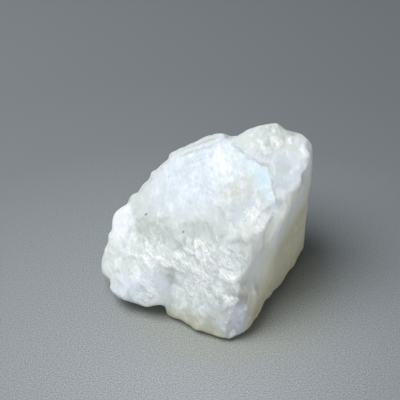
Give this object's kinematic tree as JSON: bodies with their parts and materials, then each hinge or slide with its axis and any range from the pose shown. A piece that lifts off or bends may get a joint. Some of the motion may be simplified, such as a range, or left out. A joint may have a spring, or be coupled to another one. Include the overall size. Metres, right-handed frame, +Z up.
{
  "type": "adularia moonstone",
  "caption": "Rough broken piece of milky moonstone with a steep right side, a sloping stepped face and a low lobe at the left.",
  "frame": {"origin": "middle of the bounding box, at the level of the resting face", "axes": "+X along the stone from the low lobe to the steep side, +Y from front to back, +Z up"},
  "size_m": [0.0352, 0.0326, 0.0234],
  "materials": {
    "moonstone": "milky broken feldspar with a pearly sheen"
  },
  "bodies": {
    "root": {"moonstone": "moonstone"}
  },
  "joints": []
}
